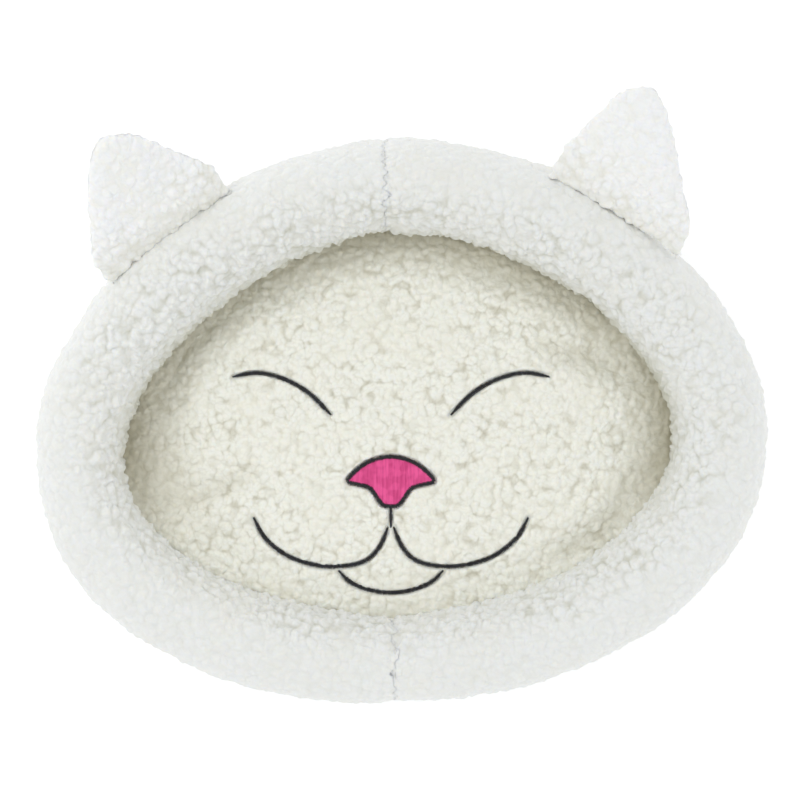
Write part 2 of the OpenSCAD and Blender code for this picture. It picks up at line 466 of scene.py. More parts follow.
def fleeceMaterial(name, tip, paintedShadeColour, warm, creaseShade):
    # curly fleece: pale curls with painted shade, warm and dim, in the lines between them, and fine woolly
    # fibres.
    # curls is the pile's own pattern, one unit to a curl
    material, maker = newMaterial(name)
    place = maker.objectPlace()
    curls = attribute(maker, "curls", "Vector")
    stands = attribute(maker, "lay")*(1 - attribute(maker, "cloud")*0.75)
    away = maker.cells("F1", curls, 1.0)
    smallAway = maker.cells("F1", curls, 2.3)
    wool = maker.noise(curls, 2.2, 3.0, Roughness=0.6, Distortion=0.8)
    depth = maker.noise(curls, 0.45, 1.0)
    # crease and fine mark the lines between curls, large and small: shade is painted there in the colour,
    # and crease also lowers the bump
    crease = maker.smooth(away, 0.46, 0.88)*maker.smooth(depth, 0.36, 0.62, 0.35, 1.0)*stands
    fine = maker.smooth(smallAway, 0.42, 0.86)*stands
    fibres = maker.noise(place, 700.0, 3.0, Roughness=0.65)
    patches = maker.noise(place, 24.0)
    colour = maker.mixColour(crease*creaseShade + fine*creaseShade*0.35, (*tip, 1), (*paintedShadeColour, 1))
    colour = maker.mixColour(maker.smooth(wool, 0.45, 0.75, 0.0, 0.35), colour, (*warm, 1))
    colour = maker.mixColour(maker.smooth(patches, 0.42, 0.7, 0.0, 0.5), colour, (*warm, 1))
    # painted shade where the pieces ask for it: under the rim, along the panel's folds and at the ears'
    # roots
    colour = maker.mixColour(attribute(maker, "hollow")*0.95, colour, (*paintedShadeColour, 1))
    relief = wool*0.8 + fibres*0.30 - smallAway*0.45 - crease*0.3
    normal = maker.bump(0.5, 1.2*mm, relief)
    finishMaterial(maker, colour, 0.95, normal,
                   {"Sheen Weight": 0.18, "Sheen Roughness": 0.6, "Specular IOR Level": 0.1,
                    "Subsurface Weight": 0.7, "Subsurface Scale": 1.6*mm,
                    "Subsurface Radius": (1.0, 0.92, 0.78)})
    return material


def threadMaterial(name, base, dark, sheen, stretch=(1.0, 1.0, 1.0)):
    # thread: fine twist along each stitch, or streaks where the grain is stretched
    material, maker = newMaterial(name)
    place = maker.objectPlace()
    grain = maker.noise(maker.vector("MULTIPLY", place, stretch), 900.0, 3.0, Roughness=0.6)
    blotch = maker.noise(place, 140.0, 1.0)
    colour = maker.mixColour(maker.smooth(grain, 0.35, 0.65)*0.5 + maker.smooth(blotch, 0.4, 0.6)*0.35,
                             (*base, 1), (*dark, 1))
    roughness = maker.smooth(grain, 0.3, 0.7, 0.45, 0.65)
    normal = maker.bump(0.3, 0.3*mm, grain)
    finishMaterial(maker, colour, roughness, normal,
                   {"Sheen Weight": sheen, "Sheen Roughness": 0.4, "Specular IOR Level": 0.35})
    return material


def wovenMaterial(name, light, dark, threadSize):
    # plain weave: two sets of threads that pass over each other
    material, maker = newMaterial(name)
    place = maker.objectPlace()
    split = maker.parts(place)
    turn = math.pi/threadSize
    across = maker.math("SINE", split*turn)
    along = maker.math("SINE", split.output("Y")*turn)
    over = maker.smooth(across*along, -0.4, 0.4)
    relief = over*maker.math("ABSOLUTE", along) + (1 - over)*maker.math("ABSOLUTE", across)
    wear = maker.noise(place, 60.0, 4.0)
    # the threads are painted darker where they pass under, as painted shade, with a random tone over it
    colour = maker.mixColour(relief*0.7 + wear*0.3, (*dark, 1), (*light, 1))
    normal = maker.bump(0.5, threadSize*0.3, relief)
    finishMaterial(maker, colour, 0.85, normal, {"Sheen Weight": 0.15, "Specular IOR Level": 0.25})
    return material


def waddingMaterial(name):
    # loose polyester fibre
    material, maker = newMaterial(name)
    place = maker.objectPlace()
    tufts = maker.noise(place, 70.0, 5.0, Roughness=0.7, Distortion=1.2)
    strands = maker.node("ShaderNodeTexWave", {"bands_direction": "DIAGONAL"},
                         {"Vector": place, "Scale": 160.0, "Distortion": 14.0, "Detail": 3.0})
    # one noise gives the fibre's uneven tone and its bump, so its low parts are also painted darker, as
    # painted shade
    colour = maker.mixColour(tufts, (0.80, 0.80, 0.79, 1), (0.95, 0.95, 0.94, 1))
    normal = maker.bump(0.6, 1.2*mm, tufts + strands*0.3)
    finishMaterial(maker, colour, 0.95, normal, {"Sheen Weight": 0.4, "Specular IOR Level": 0.1})
    return material


rimFleece = fleeceMaterial("rimFleece", (0.86, 0.865, 0.84), (0.58, 0.57, 0.47),
                           (0.845, 0.84, 0.79), 0.62)
panelFleece = fleeceMaterial("panelFleece", (0.925, 0.92, 0.84), (0.50, 0.465, 0.345),
                             (0.905, 0.89, 0.795), 0.55)
# the ears' fleece is the rim's white fleece painted lighter, as painted light
earFleece = fleeceMaterial("earFleece", (0.95, 0.95, 0.93), (0.66, 0.64, 0.52), (0.93, 0.92, 0.87), 0.50)
blackThread = threadMaterial("blackThread", (0.020, 0.020, 0.024), (0.006, 0.006, 0.008), 0.3)
pinkThread = threadMaterial("pinkThread", (0.93, 0.12, 0.37), (0.60, 0.04, 0.19), 0.35, (0.7, 0.04, 0.2))
whiteThread = threadMaterial("whiteThread", (0.80, 0.79, 0.74), (0.55, 0.54, 0.49), 0.2)
undersideCloth = wovenMaterial("undersideCloth", (0.70, 0.69, 0.65), (0.45, 0.44, 0.41), 1.2*mm)
backingCloth = wovenMaterial("backingCloth", (0.90, 0.90, 0.89), (0.72, 0.72, 0.71), 0.6*mm)
wadding = waddingMaterial("wadding")
print("materials made")


# the pile: curls raised on a smooth cloth. lay is 1 where they stand and 0 where they are pressed,
# and cloud is 1 where they are brushed out
def pileTree():
    tree, maker, given = geometryTree("fleecePile", {
        "Curl Size": ("Float", 8.5*mm), "Curl Height": ("Float", 3.0*mm), "Lean": ("Float", 0.7*mm),
        "Swell": ("Float", 1.2*mm), "Seed": ("Float", 0.0), "Material": ("Material", None)})
    place = maker.node("GeometryNodeInputPosition")
    outward = maker.node("GeometryNodeInputNormal")
    lay = maker.stored("lay")
    cloud = maker.stored("cloud")
    shift = maker.combined(given["Seed"], given["Seed"]*1.7, 0.0)
    start = maker.scaled(maker.vector("ADD", place, shift), 1.0/given["Curl Size"])
    wander = maker.vector("SUBTRACT", maker.noise(start, 0.6, 1.0, "Color"), (0.5, 0.5, 0.5))
    curls = maker.vector("ADD", start, maker.scaled(wander, 1.1))
    middles = maker.cells("F1", curls, 1.0)
    away = maker.cells("SMOOTH_F1", curls, 1.0, Smoothness=0.22)
    lumps = maker.cells("SMOOTH_F1", curls, 2.3, Smoothness=0.6)
    broad = maker.noise(place, 38.0)
    dome = maker.smooth(away, 0.05, 0.78, 1.0, 0.0)
    tall = 0.62 + 0.6*maker.parts(middles.output("Color"))
    wool = maker.noise(curls, 2.2, 3.0, Roughness=0.6, Distortion=0.8)
    curl = dome*tall*0.85 + (1.0 - lumps)*0.30 + wool*0.35
    height = lay*(1.0 - cloud*0.5)*curl*given["Curl Height"] + (broad - 0.5)*given["Swell"]*2.0
    sway = maker.vector("SUBTRACT", middles.output("Color"), (0.5, 0.5, 0.5))
    aside = maker.scaled(sway, given["Lean"]*dome*lay*(1.0 - cloud*0.7))
    marked = maker.node("GeometryNodeStoreNamedAttribute", {"data_type": "FLOAT_VECTOR", "domain": "POINT"},
                        {"Geometry": given["Geometry"], "Name": "curls", "Value": curls})
    raised = maker.node("GeometryNodeSetPosition", None, {
        "Geometry": marked, "Offset": maker.vector("ADD", maker.scaled(outward, height), aside)})
    closeTree(maker, raised, given["Material"])
    return tree


fleecePile = pileTree()


# lay and cloud shape the pile; the third mask is where shade is painted into the fleece's colour
def raisePile(piece, lay, cloud, hollow, material, seed, sizes):
    setAttribute(piece, "lay", lay)
    setAttribute(piece, "cloud", cloud)
    setAttribute(piece, "hollow", hollow)
    return applyTree(piece, fleecePile, {"Seed": seed, "Material": material, **sizes})


def waddingTree():
    # lumps of loose fibre that sink into the shape, so that it stays inside its cover
    tree, maker, given = geometryTree("looseWadding", {
        "Lump Size": ("Float", 22.0*mm), "Depth": ("Float", 2.5*mm), "Material": ("Material", None)})
    place = maker.node("GeometryNodeInputPosition")
    outward = maker.node("GeometryNodeInputNormal")
    lumps = maker.cells("SMOOTH_F1", maker.scaled(place, 1.0/given["Lump Size"]), 1.0, Smoothness=0.7)
    wisps = maker.noise(place, 160.0, 3.0)
    sunk = maker.scaled(outward, (lumps*0.8 + wisps*0.4)*given["Depth"]*-1.0)
    moved = maker.node("GeometryNodeSetPosition", None, {"Geometry": given["Geometry"], "Offset": sunk})
    closeTree(maker, moved, given["Material"])
    return tree


looseWadding = waddingTree()


def threadTree():
    # a row of short threads along a path, each turned to the path's own "across" direction, whose
    # length is the thread's share of the full length
    tree, maker, given = geometryTree("threadRow", {
        "Spacing": ("Float", 0.55*mm), "Length": ("Float", 3.6*mm), "Thickness": ("Float", 0.75*mm),
        "Tilt": ("Float", 0.16), "Seed": ("Int", 1), "Material": ("Material", None)})
    curve = maker.node("GeometryNodeMeshToCurve", None, {"Mesh": given["Geometry"]})
    even = maker.node("GeometryNodeResampleCurve", {"mode": "LENGTH"},
                      {"Curve": curve, "Length": given["Spacing"]})
    thread = maker.node("GeometryNodeMeshCylinder", None,
                        {"Vertices": 7, "Side Segments": 4, "Radius": 0.5, "Depth": 1.0}, "Mesh")
    local = maker.node("GeometryNodeInputPosition")
    parts = maker.parts(local)
    ends = parts.output("Z")*2.0
    slim = maker.math("SQRT", 1.0 - ends*ends*0.85)
    shaped = maker.combined(parts*slim, parts.output("Y")*slim, parts.output("Z"))
    thread = maker.node("GeometryNodeSetPosition", None, {"Geometry": thread, "Position": shaped})
    across = maker.stored("across", "FLOAT_VECTOR")
    jitter = maker.node("FunctionNodeRandomValue", {"data_type": "FLOAT_VECTOR"},
                        {"Min": (-1.0, -1.0, -0.4), "Max": (1.0, 1.0, 0.4), "Seed": given["Seed"]})
    turn = maker.node("FunctionNodeAlignRotationToVector", {"axis": "Z"},
                      {"Vector": maker.vector("ADD", across, maker.scaled(jitter, given["Tilt"]))})
    longer = maker.node("FunctionNodeRandomValue", {"data_type": "FLOAT"},
                        {2: 0.86, 3: 1.14, "Seed": given["Seed"] + 5.0}, 1)
    wide = maker.node("ShaderNodeVectorMath", {"operation": "LENGTH"}, {0: across}, "Value")
    size = maker.combined(given["Thickness"], given["Thickness"], given["Length"]*longer*wide)
    placed = maker.node("GeometryNodeInstanceOnPoints", None,
                        {"Points": even, "Instance": thread, "Rotation": turn, "Scale": size})
    closeTree(maker, placed, given["Material"])
    return tree


def tubeTree():
    # a thread, cord or tape along each path; Flatness is its height against its width
    tree, maker, given = geometryTree("alongPath", {
        "Radius": ("Float", 0.42*mm), "Flatness": ("Float", 1.0), "Sides": ("Int", 7),
        "Material": ("Material", None)})
    curve = maker.node("GeometryNodeMeshToCurve", None, {"Mesh": given["Geometry"]})
    level = maker.node("GeometryNodeSetCurveNormal", {"mode": "Z_UP"}, {"Curve": curve})
    ring = maker.node("GeometryNodeCurvePrimitiveCircle", None,
                      {"Resolution": given["Sides"], "Radius": given["Radius"]})
    flat = maker.node("GeometryNodeTransform", None,
                      {"Geometry": ring, "Scale": maker.combined(1.0, given["Flatness"], 1.0)})
    tube = maker.node("GeometryNodeCurveToMesh", None,
                      {"Curve": level, "Profile Curve": flat, "Fill Caps": True})
    closeTree(maker, tube, given["Material"])
    return tree


threadRow = threadTree()
alongPath = tubeTree()


def pathPiece(name, paths, across=None, closed=False):
    # wires for a tree to work on: each path is a list of points in space, and across is the
    # direction of the threads at each point, or one direction for all of them
    work = bmesh.new()
    for path in paths:
        made = [work.verts.new(p) for p in path]
        for a, b in zip(made, made[1:]):
            work.edges.new((a, b))
        if closed:
            work.edges.new((made[-1], made[0]))
    piece = pieceOf(name, work)
    if across is not None:
        layer = piece.data.attributes.new("across", "FLOAT_VECTOR", "POINT")
        directions = np.broadcast_to(np.asarray(across, float), (len(piece.data.vertices), 3))
        layer.data.foreach_set("vector", directions.astype(np.float32).ravel())
    return piece


def sewn(name, path, across, values, closed=False):
    # a row of stitches along a path
    piece = pathPiece(name, [path], across, closed)
    return applyTree(piece, threadRow, {"Material": whiteThread, **values})


def sideways(path, closed=False):
    # level directions square to a path
    step = np.roll(path, -1, axis=0) - np.roll(path, 1, axis=0) if closed else np.gradient(path, axis=0)
    return unit(np.column_stack([step[:, 1], -step[:, 0], np.zeros(len(path))]))


def joined(name, *parts):
    # one piece of several, each with its own material
    work = bmesh.new()
    for number, part in enumerate(parts):
        for polygon in part.data.polygons:
            polygon.material_index = number
        work.from_mesh(part.data)
    piece = pieceOf(name, work)
    for part in parts:
        piece.data.materials.append(part.data.materials[0])
    drop(*parts)
    return piece


# rim
rim = {
    "voxel": 4.8*mm,
    "swell": 5.0*mm,          # furthest that the stuffing moves the cloth
    "pileRoom": 2.0*mm,       # from the design's surface to the cloth that the pile stands on
    "clothThickness": 2.4*mm,
    "finer": 2,
    "bulges": [(75*mm, 2.2*mm, 5.0), (34*mm, 0.9*mm, 8.0)],    # size, height, seed
    "seamDepth": 1.2*mm,
    "seamWidth": 8.0*mm,
    "seamWander": 6.0*mm,     # how far its pile crosses the seam
    "pile": {"Curl Size": 6.8*mm, "Curl Height": 3.7*mm, "Lean": 1.0*mm},
    # where its inside rolls outwards: angle, spread, distance
    "rolls": [(-90, 55, 9.0*mm), (92, 32, 6.0*mm), (190, 28, 6.5*mm)],
    "rollShare": (0.95, 1.45),    # of nestShare, over which the rolling fades
    "footHeight": 1.6*mm,
    "standing": (-0.97, -0.75),   # nothing stands under the rim, where normals point down
    "brushedShare": (1.11, 1.29),  # of nestShare, over which its curls turn to brushed pile
    "brushedHeight": (0.012, 0.03),
    # the wall inside the nest has shade painted in below these heights, and only towards the back
    "dimHeight": (0.035, 0.075),
    "dimShare": (1.0, 1.2),
    "dimY": (-0.09, 0.03),
    "coreGap": 1.0*mm,        # between the cover and the wadding
    "coreLift": 0.5*mm,
}


def middleOf(node):
    low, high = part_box(node)
    return (Vector(low) + Vector(high))/2


backMiddle = middleOf("back_seam")
frontMiddle = middleOf("front_seam")
seamLine = frontMiddle - backMiddle
seamLine.z = 0.0
seamLine.normalize()
seamNormal = Vector((-seamLine.y, seamLine.x, 0.0))  # towards +X
nestLow, nestHigh = (np.array(c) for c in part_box("face_panel"))
nestMiddle = (nestLow + nestHigh)/2
nestHalf = (nestHigh - nestLow)/2
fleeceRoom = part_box("rim_cover_right")[1][2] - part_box("rim_filling")[1][2]
overhead = 0.2                # a height above the whole bed, from which rays are cast
straightDown = Vector((0.0, 0.0, -1.0))


def nestShare(points):
    # 0 in the nest's middle and 1 at the panel's edge
    return np.linalg.norm((points[:, :2] - nestMiddle[:2])/nestHalf[:2], axis=1)


def facing(points, bearing, spread):
    # 1 on the nest's side at this angle, and less to both sides of it
    offset = points[:, :2] - nestMiddle[:2]
    away = np.degrees(np.arctan2(offset[:, 1], offset[:, 0])) - bearing
    return bell((away + 180.0) % 360.0 - 180.0, spread)


def rollOut(points, weight):
    # moves points away from the nest's middle where the rim rolls outwards
    offset = points[:, :2] - nestMiddle[:2]
    shift = sum(facing(points, bearing, spread)*distance for bearing, spread, distance in rim["rolls"])
    points[:, :2] += unit(offset)*(shift*weight)[:, None]


def awayFromSeam(points):
    return (points - np.array(backMiddle)) @ np.array(seamNormal)


def buildRim():
    outward = fleeceRoom - rim["pileRoom"]
    ring = stuff(copyOfNodes("rim", "rim_filling"), rim["voxel"], rim["swell"], outward)
    relax(ring, 2)
    points = coordinates(ring)
    normals = vertexNormals(ring)
    share = nestShare(points)
    rollOut(points, 1.0 - smoothStep(share, *rim["rollShare"]))
    bulge = sum(softNoise(points, size, seed)*height for size, height, seed in rim["bulges"])
    points += normals*bulge[:, None]
    setCoordinates(ring, points)
    core = copyOf(ring, "rimFilling")
    subdivide(ring, rim["finer"])
    points = coordinates(ring)
    normals = vertexNormals(ring)
    points -= normals*(bell(awayFromSeam(points), rim["seamWidth"])*rim["seamDepth"])[:, None]
    points[:, 2] = np.maximum(points[:, 2], rim["footHeight"])
    setCoordinates(ring, points)
    surface = BVHTree.FromObject(ring, bpy.context.evaluated_depsgraph_get())
    lining = copyOf(ring, "lining")
    voxelRemesh(lining, rim["voxel"])
    relax(lining, 2)
    push(lining, -rim["clothThickness"])
    share = nestShare(points)
    standing = smoothStep(normals[:, 2], *rim["standing"])
    lay = standing*(1.0 - 0.25*bell(awayFromSeam(points), 2.0*mm))
    edge = share + softNoise(points, 45*mm, 2.0)*0.05
    cloud = smoothStep(edge, *rim["brushedShare"])*smoothStep(points[:, 2], *rim["brushedHeight"])
    inNest = 1.0 - smoothStep(share, *rim["dimShare"])
    back = smoothStep(points[:, 1], *rim["dimY"])
    # painted shade on the wall inside the nest, low down and towards the back
    hollow = (1.0 - smoothStep(points[:, 2], *rim["dimHeight"]))*inNest*back
    raisePile(ring, lay, cloud, hollow, rimFleece, 0.0, rim["pile"])
    hollowOut(ring, lining)
    bend(ring, backMiddle, seamNormal, rim["seamWander"])
    for node, way in (("rim_cover_right", 1), ("rim_cover_left", -1)):
        piece = splitByPlane(ring, camelName(node), backMiddle, seamNormal*way)
        bend(piece, backMiddle, seamNormal, -rim["seamWander"])
        standIn(piece, node)
        print("rim cover", piece.name, len(piece.data.polygons))
    drop(ring)
    push(core, -rim["clothThickness"] - rim["coreGap"])
    points = coordinates(core)
    points[:, 2] = np.maximum(points[:, 2], rim["footHeight"] + rim["clothThickness"] + rim["coreLift"])
    points -= vertexNormals(core)*(bell(awayFromSeam(points), rim["seamWidth"])*rim["seamDepth"])[:, None]
    setCoordinates(core, points)
    applyTree(core, looseWadding, {"Material": wadding})
    standIn(core, "rim_filling")
    return surface


rimSurface = buildRim()

rimStitch = {
    "row": {"Spacing": 4.2*mm, "Length": 5.5*mm, "Thickness": 0.8*mm, "Tilt": 0.45},
    "cord": 0.48*mm,
    "reach": 120.0*mm,        # from the rim's middle to where the search for its surface starts
    "points": 90,
    "lift": 0.3*mm,
}


def buildRimSeam(name, node, seed):
    # stitches round the rim at the bottom of its seam's groove
    middle = middleOf(node)
    path = []
    for turn in np.linspace(0.0, 2*math.pi, rimStitch["points"], endpoint=False):
        ray = seamLine*math.cos(turn) + Vector((0.0, 0.0, math.sin(turn)))
        hit = rimSurface.ray_cast(middle + ray*rimStitch["reach"], -ray)
        path.append(hit[0] + ray*rimStitch["lift"])
    stitches = sewn(name + "Stitches", path, seamNormal, {**rimStitch["row"], "Seed": seed}, closed=True)
    cord = pathPiece(name + "Cord", [path], closed=True)
    applyTree(cord, alongPath, {"Radius": rimStitch["cord"], "Material": whiteThread})
    standIn(joined(name, stitches, cord), node)


buildRimSeam("backSeam", "back_seam", 21)
buildRimSeam("frontSeam", "front_seam", 22)
print("rim seams made")


# face: key points in millimetres from the face's own middle line, as in the design
face = {
    "eye": [(46, 4), (62, 20), (81, 31), (102, 36), (121, 33)],
    "mouth": [(2.2, -82), (8, -96), (18, -107), (34, -112), (55, -112), (78, -105), (96, -91), (105, -75)],
    "chin": [(40, -116), (31, -125), (16, -131), (0, -133)],
    "nose": [(0, -28), (17, -32), (29, -41), (33, -47), (26, -49), (16, -52), (10, -60), (6, -65)],
    "noseFoot": (0, -66),
    "philtrum": [(0, -66), (0, -73), (0, -82)],
    "press": 1.9*mm,          # how deep the stitches pull the cloth
}
faceMiddleX = middleOf("nose_patch").x


def curveThrough(points, steps=6, closed=False):
    # a smooth curve through the points
    points = np.asarray(points, float)
    count = len(points)
    made = []
    for i in range(count if closed else count - 1):
        picks = [i - 1, i, i + 1, i + 2]
        a, b, c, d = (points[p % count if closed else min(max(p, 0), count - 1)] for p in picks)
        for k in np.arange(steps)/steps:
            made.append(0.5*(2*b + (c - a)*k + (2*a - 5*b + 4*c - d)*k*k + (3*b - a - 3*c + d)*k**3))
    if not closed:
        made.append(points[-1])
    return np.array(made)


def onFace(points, side=1):
    points = np.asarray(points, float)*mm
    return np.column_stack([points[:, 0]*side + faceMiddleX, points[:, 1]])


def flipped(points):
    return [(-x, y) for x, y in reversed(points)]


nosePath = onFace(curveThrough(face["nose"] + [face["noseFoot"]] + flipped(face["nose"][1:]), closed=True))
lines = {
    "eye_stitching_right": onFace(curveThrough(face["eye"])),
    "eye_stitching_left": onFace(curveThrough(face["eye"]), -1),
    "mouth_stitching_right": onFace(curveThrough(face["mouth"])),
    "mouth_stitching_left": onFace(curveThrough(face["mouth"]), -1),
    "chin_stitching": onFace(curveThrough(face["chin"] + flipped(face["chin"][:-1]))),
    "philtrum_stitching": onFace(face["philtrum"]),
    "nose_outline": np.vstack([nosePath, nosePath[:1]]),
}


# sleeping panel: each fold is a path in millimetres, its depth and its width
panel = {
    "voxel": 4.6*mm,
    "swell": 4.0*mm,
    "pileRoom": 1.2*mm,
    "clothThickness": 3.6*mm,
    "leastThickness": 2.0*mm,  # in the folds
    "leastHeight": 1.5*mm,    # of a fold above the panel's lowest edge, where its back is cut off
    "finer": 2,
    "pile": {"Curl Size": 6.2*mm, "Curl Height": 2.3*mm, "Swell": 0.6*mm},
    "tuck": 0.045,            # how far its edge goes under the rim, as a share of its size
    "folds": [([(190, 36), (140, 50), (96, 60)], 6.0*mm, 12.0*mm),
              ([(-192, -76), (-150, -58), (-105, -36)], 5.5*mm, 11.0*mm),
              ([(190, -40), (155, -88), (105, -112)], 4.5*mm, 10.0*mm),
              ([(-185, 20), (-165, 60), (-120, 100)], 4.0*mm, 11.0*mm)],
    # strength of the shade painted along the folds
    "foldShade": 0.3,
    "bulge": (60*mm, 3.0*mm),  # size and height of its soft unevenness
    "edge": (0.85, 1.0),      # of nestShare, over which that fades
    "pressWidth": (1.8*mm, 3.8*mm),
    "tufts": (0.30, 0.46),    # of noise, where curls poke out of the stitching
    # the shade painted under the rim: where it starts, how much later on the right, where it is full, and
    # how far forward it goes
    "shadeStart": 0.74,
    "shadeSkew": 0.05,
    "shadeSide": (42.0, 26.0),  # it starts earlier round this angle, with this spread
    "shadeEarlier": 0.09,
    "shadeFull": 0.98,
    "shadeY": (-0.11, -0.01),
}


def buildPanel():
    # sewn and stuffed as one cushion with a flat back, of which the piece is the upper cloth
    pad = copyOfNodes("cushion", "face_panel")
    points = coordinates(pad)
    points[vertexNormals(pad)[:, 2] < 0.0, 2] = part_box("base_pad")[0][2]
    setCoordinates(pad, points)
    stuff(pad, panel["voxel"], panel["swell"], -panel["pileRoom"])
    relax(pad, 2)
    subdivide(pad, panel["finer"])
    points = coordinates(pad)
    normals = vertexNormals(pad)
    top = smoothStep(normals[:, 2], 0.0, 0.5)
    share = nestShare(points)
    points[:, :2] += (points[:, :2] - nestMiddle[:2])*panel["tuck"]
    rollOut(points, smoothStep(share, 0.6, 1.0))
    lowest = np.minimum(points[:, 2], nestLow[2] + panel["leastHeight"])
    creased = np.zeros(len(points))
    for path, depth, width in panel["folds"]:
        away, place = distanceToPath(points, np.array(path)*mm)
        taper = np.sin(np.pi*np.clip(place*0.9 + 0.1, 0.0, 1.0))**0.7
        # shade is painted along each fold
        creased = np.maximum(creased, bell(away, width*0.8)*taper*panel["foldShade"])
        points[:, 2] += (0.45*bell(away - 1.9*width, width) - bell(away, width))*depth*taper*top
    size, height = panel["bulge"]
    points[:, 2] += softNoise(points, size, 3.0)*height*top*(1.0 - smoothStep(share, *panel["edge"]))
    pressed = np.zeros(len(points))
    for path in lines.values():
        away, place = distanceToPath(points, path)
        pressed = np.maximum(pressed, 1.0 - smoothStep(away, *panel["pressWidth"]))
    onNose = insideOutline(points, nosePath)
    pressed[onNose] = 1.0
    points[:, 2] = np.maximum(points[:, 2] - pressed*face["press"]*top, lowest)
    tufts = 0.5*smoothStep(softNoise(points, 5*mm, 6.0), *panel["tufts"])
    tufts[onNose] = 0.0
    lay = smoothStep(normals[:, 2], -0.2, 0.3)*(1.0 - pressed*(1.0 - tufts))
    setCoordinates(pad, points)
    # painted shade near the panel's edge under the rim, and along the folds
    inset = panel["shadeStart"] + panel["shadeSkew"]*(points[:, 0] - nestMiddle[0])/nestHalf[0]
    inset -= facing(points, *panel["shadeSide"])*panel["shadeEarlier"]
    hollow = np.clip((share - inset)/(panel["shadeFull"] - inset), 0.0, 1.0)**1.3
    hollow = np.maximum(hollow*smoothStep(points[:, 1], *panel["shadeY"]), creased)
    surface = BVHTree.FromObject(pad, bpy.context.evaluated_depsgraph_get())
    lining = push(relax(voxelRemesh(copyOf(pad, "lining"), panel["voxel"]), 2), -panel["clothThickness"])
    inner = coordinates(lining)
    for point in inner:
        roof = surface.ray_cast(Vector((point[0], point[1], overhead)), straightDown)[0]
        if roof:
            point[2] = min(point[2], roof.z - panel["leastThickness"])
    setCoordinates(lining, inner)
    raisePile(pad, lay, np.zeros(len(points)), hollow, panelFleece, 0.37, panel["pile"])
    hollowOut(pad, lining)
    piece = splitByPlane(pad, "facePanel", Vector((0.0, 0.0, nestLow[2])), Vector((0.0, 0.0, 1.0)))
    drop(pad)
    standIn(piece, "face_panel")
    print("panel", len(piece.data.polygons))
    return surface


panelSurface = buildPanel()


def surfaceHeight(x, y):
    # height of the panel's cloth, or of its nearest edge where it doesn't reach
    above = Vector((x, y, overhead))
    hit = panelSurface.ray_cast(above, straightDown)[0]
    return (hit or panelSurface.find_nearest(above)[0]).z


# embroidery
stitch = {
    "step": 1.5*mm,           # between the points of a line's path
    "row": {"Spacing": 0.62*mm, "Thickness": 0.8*mm, "Length": 3.4*mm, "Tilt": 0.26,
            "Material": blackThread},
    "taper": 9.0*mm,          # length over which a line narrows to its end
    "lift": 1.2*mm,
    "outlineLift": 0.5*mm,    # the nose's outline lies over its filling
    "fillSpacing": 0.66*mm,
    "fillLift": 0.9*mm,
    "fillCrown": 0.5*mm,
}


def buildLines():
    for number, (node, path) in enumerate(lines.items()):
        lift = stitch["lift"] + (stitch["outlineLift"] if node == "nose_outline" else 0.0)
        points = np.array([(x, y, surfaceHeight(x, y) + lift) for x, y in spaced(path, stitch["step"])])
        ends = np.minimum(np.arange(len(points)), np.arange(len(points))[::-1])*stitch["step"]
        share = np.clip(0.5 + 0.5*ends/stitch["taper"], 0.0, 1.0)
        if node == "nose_outline":
            share[:] = 1.0    # it has no ends
        across = sideways(points)*share[:, None]
        piece = sewn(camelName(node), points, across, {**stitch["row"], "Seed": number + 1})
        standIn(piece, node)
    print("stitched lines made")


def crossings(outline, x):
    # heights at which an upright line cuts a closed outline
    found = []
    for (ax, ay), (bx, by) in zip(outline, np.roll(outline, -1, axis=0)):
        if (ax > x) != (bx > x):
            found.append(ay + (by - ay)*(x - ax)/(bx - ax))
    return sorted(found)


def buildNose():
    threads = []
    low, high = nosePath[:, 0].min(), nosePath[:, 0].max()
    for x in np.arange(low + 0.5*mm, high, stitch["fillSpacing"]):
        ends = crossings(nosePath, x)
        for bottom, top in zip(ends[::2], ends[1::2]):
            if top - bottom > 1.0*mm:
                ys = np.linspace(bottom, top, max(3, int((top - bottom)/(2.5*mm))))
                crown = np.sin(np.pi*(ys - bottom)/(top - bottom))*stitch["fillCrown"] + stitch["fillLift"]
                threads.append([(x, y, surfaceHeight(x, y) + c) for y, c in zip(ys, crown)])
    piece = pathPiece("nosePatch", threads)
    applyTree(piece, alongPath, {"Material": pinkThread})
    standIn(piece, "nose_patch")
    print("nose made of", len(threads), "threads")


buildLines()
buildNose()


# base: the pad under the panel, the embroidery's backing, the underside and its bound edge
base = {
    "padVoxel": 7.0*mm,
    "rings": 24,
    "underCloth": 5.0*mm,     # from the panel's face to what lies under it
    "step": 6.0*mm,
    "wrinkle": 0.5*mm,
    "backingRoom": 0.5*mm,
    "tapeWidth": 3.6*mm,
    "tapeThickness": 1.0*mm,
    "tapeRow": {"Spacing": 4.5*mm, "Length": 3.0*mm, "Thickness": 0.45*mm, "Tilt": 0.05, "Seed": 31},
    "tapeRowHeight": 0.25*mm,
    "seamRow": {"Spacing": 2.2*mm, "Length": 4.0*mm, "Thickness": 0.7*mm, "Tilt": 0.3, "Seed": 32},
    "seamRowLift": 1.0*mm,
}


def heightsUnder(points):
    # heights just under the panel's cloth
    return np.array([surfaceHeight(p[0], p[1]) for p in points]) - base["underCloth"]


